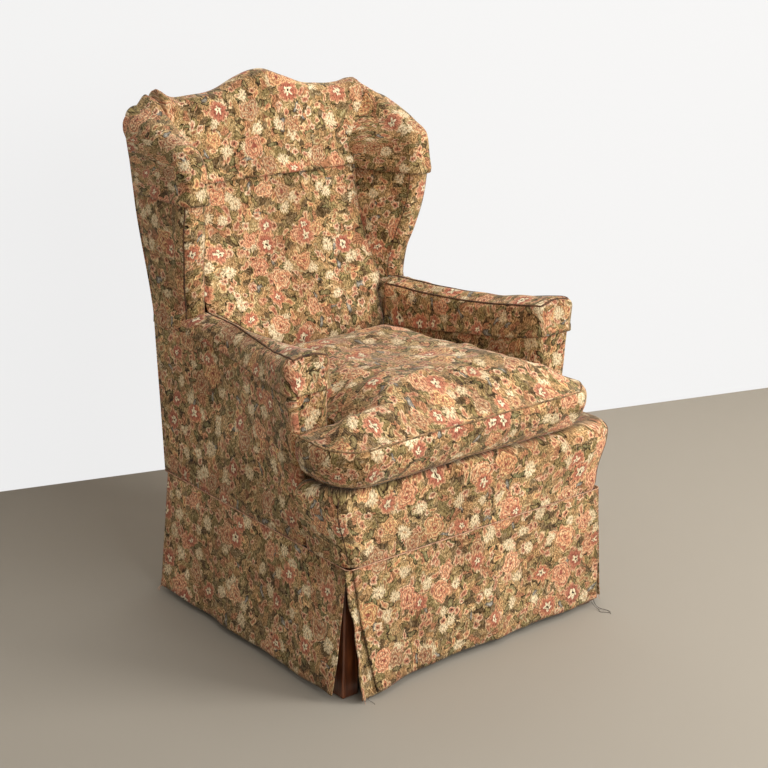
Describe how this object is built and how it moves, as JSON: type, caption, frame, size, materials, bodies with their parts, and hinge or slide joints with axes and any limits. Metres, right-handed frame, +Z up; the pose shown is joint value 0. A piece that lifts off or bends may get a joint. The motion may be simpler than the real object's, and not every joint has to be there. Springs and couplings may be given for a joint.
{
  "type": "wing armchair with loose covers",
  "caption": "High-backed wing armchair with a sagging loose seat cushion, under loose floral tapestry covers with a slit box skirt, arm caps and a headrest cap.",
  "frame": {"origin": "on the floor, under the middle of the box around the chair", "axes": "+Z up, +Y from the sitter's knees towards the chair's back, +X towards the right of someone facing the chair"},
  "size_m": [0.7308, 0.7986, 1.0618],
  "materials": {
    "tapestry": "matt woven floral tapestry, faded",
    "piping": "matt woven cloth over cord",
    "stained_leg": "dark stain, worn satin varnish",
    "frame_timber": "plain sawn beech",
    "webbing": "jute webbing",
    "hessian": "coarse hessian",
    "bottom_cloth": "black bottom cloth",
    "wadding": "felted fibre wadding"
  },
  "bodies": {
    "root": {"arm_cap_left": "tapestry", "arm_cap_right": "tapestry", "arm_pad_left": "wadding", "arm_pad_right": "wadding", "arm_rail_left": "frame_timber", "arm_rail_right": "frame_timber", "arm_stump_left": "frame_timber", "arm_stump_right": "frame_timber", "back_hessian": "hessian", "back_pad": "wadding", "back_post_left": "frame_timber", "back_post_right": "frame_timber", "border_roll": "wadding", "corner_block_left": "frame_timber", "corner_block_right": "frame_timber", "cover_arm_left": "tapestry", "cover_arm_right": "tapestry", "cover_inside_back": "tapestry", "cover_outside_back": "tapestry", "cover_platform": "tapestry", "cover_wing_left": "tapestry", "cover_wing_right": "tapestry", "crest_rail": "frame_timber", "cushion_piping_top": "piping", "dust_cover": "bottom_cloth", "front_leg_left": "stained_leg", "front_leg_right": "stained_leg", "front_rail": "frame_timber", "headrest_cap_back": "tapestry", "headrest_cap_wing_left": "tapestry", "headrest_cap_wing_right": "tapestry", "lower_back_rail": "frame_timber", "pleat_flap_back_left": "tapestry", "pleat_flap_back_right": "tapestry", "pleat_flap_front_left": "tapestry", "pleat_flap_front_right": "tapestry", "rear_rail": "frame_timber", "seat_cushion_cover": "tapestry", "seat_cushion_filling": "wadding", "seat_pad": "wadding", "seat_web_cross_1": "webbing", "seat_web_cross_2": "webbing", "seat_web_cross_3": "webbing", "seat_web_long_1": "webbing", "seat_web_long_2": "webbing", "seat_web_long_3": "webbing", "side_rail_left": "frame_timber", "side_rail_right": "frame_timber", "skirt_back": "tapestry", "skirt_front": "tapestry", "skirt_left": "tapestry", "skirt_right": "tapestry", "wing_board_left": "frame_timber", "wing_board_right": "frame_timber", "wing_pad_left": "wadding", "wing_pad_right": "wadding"}
  },
  "joints": []
}
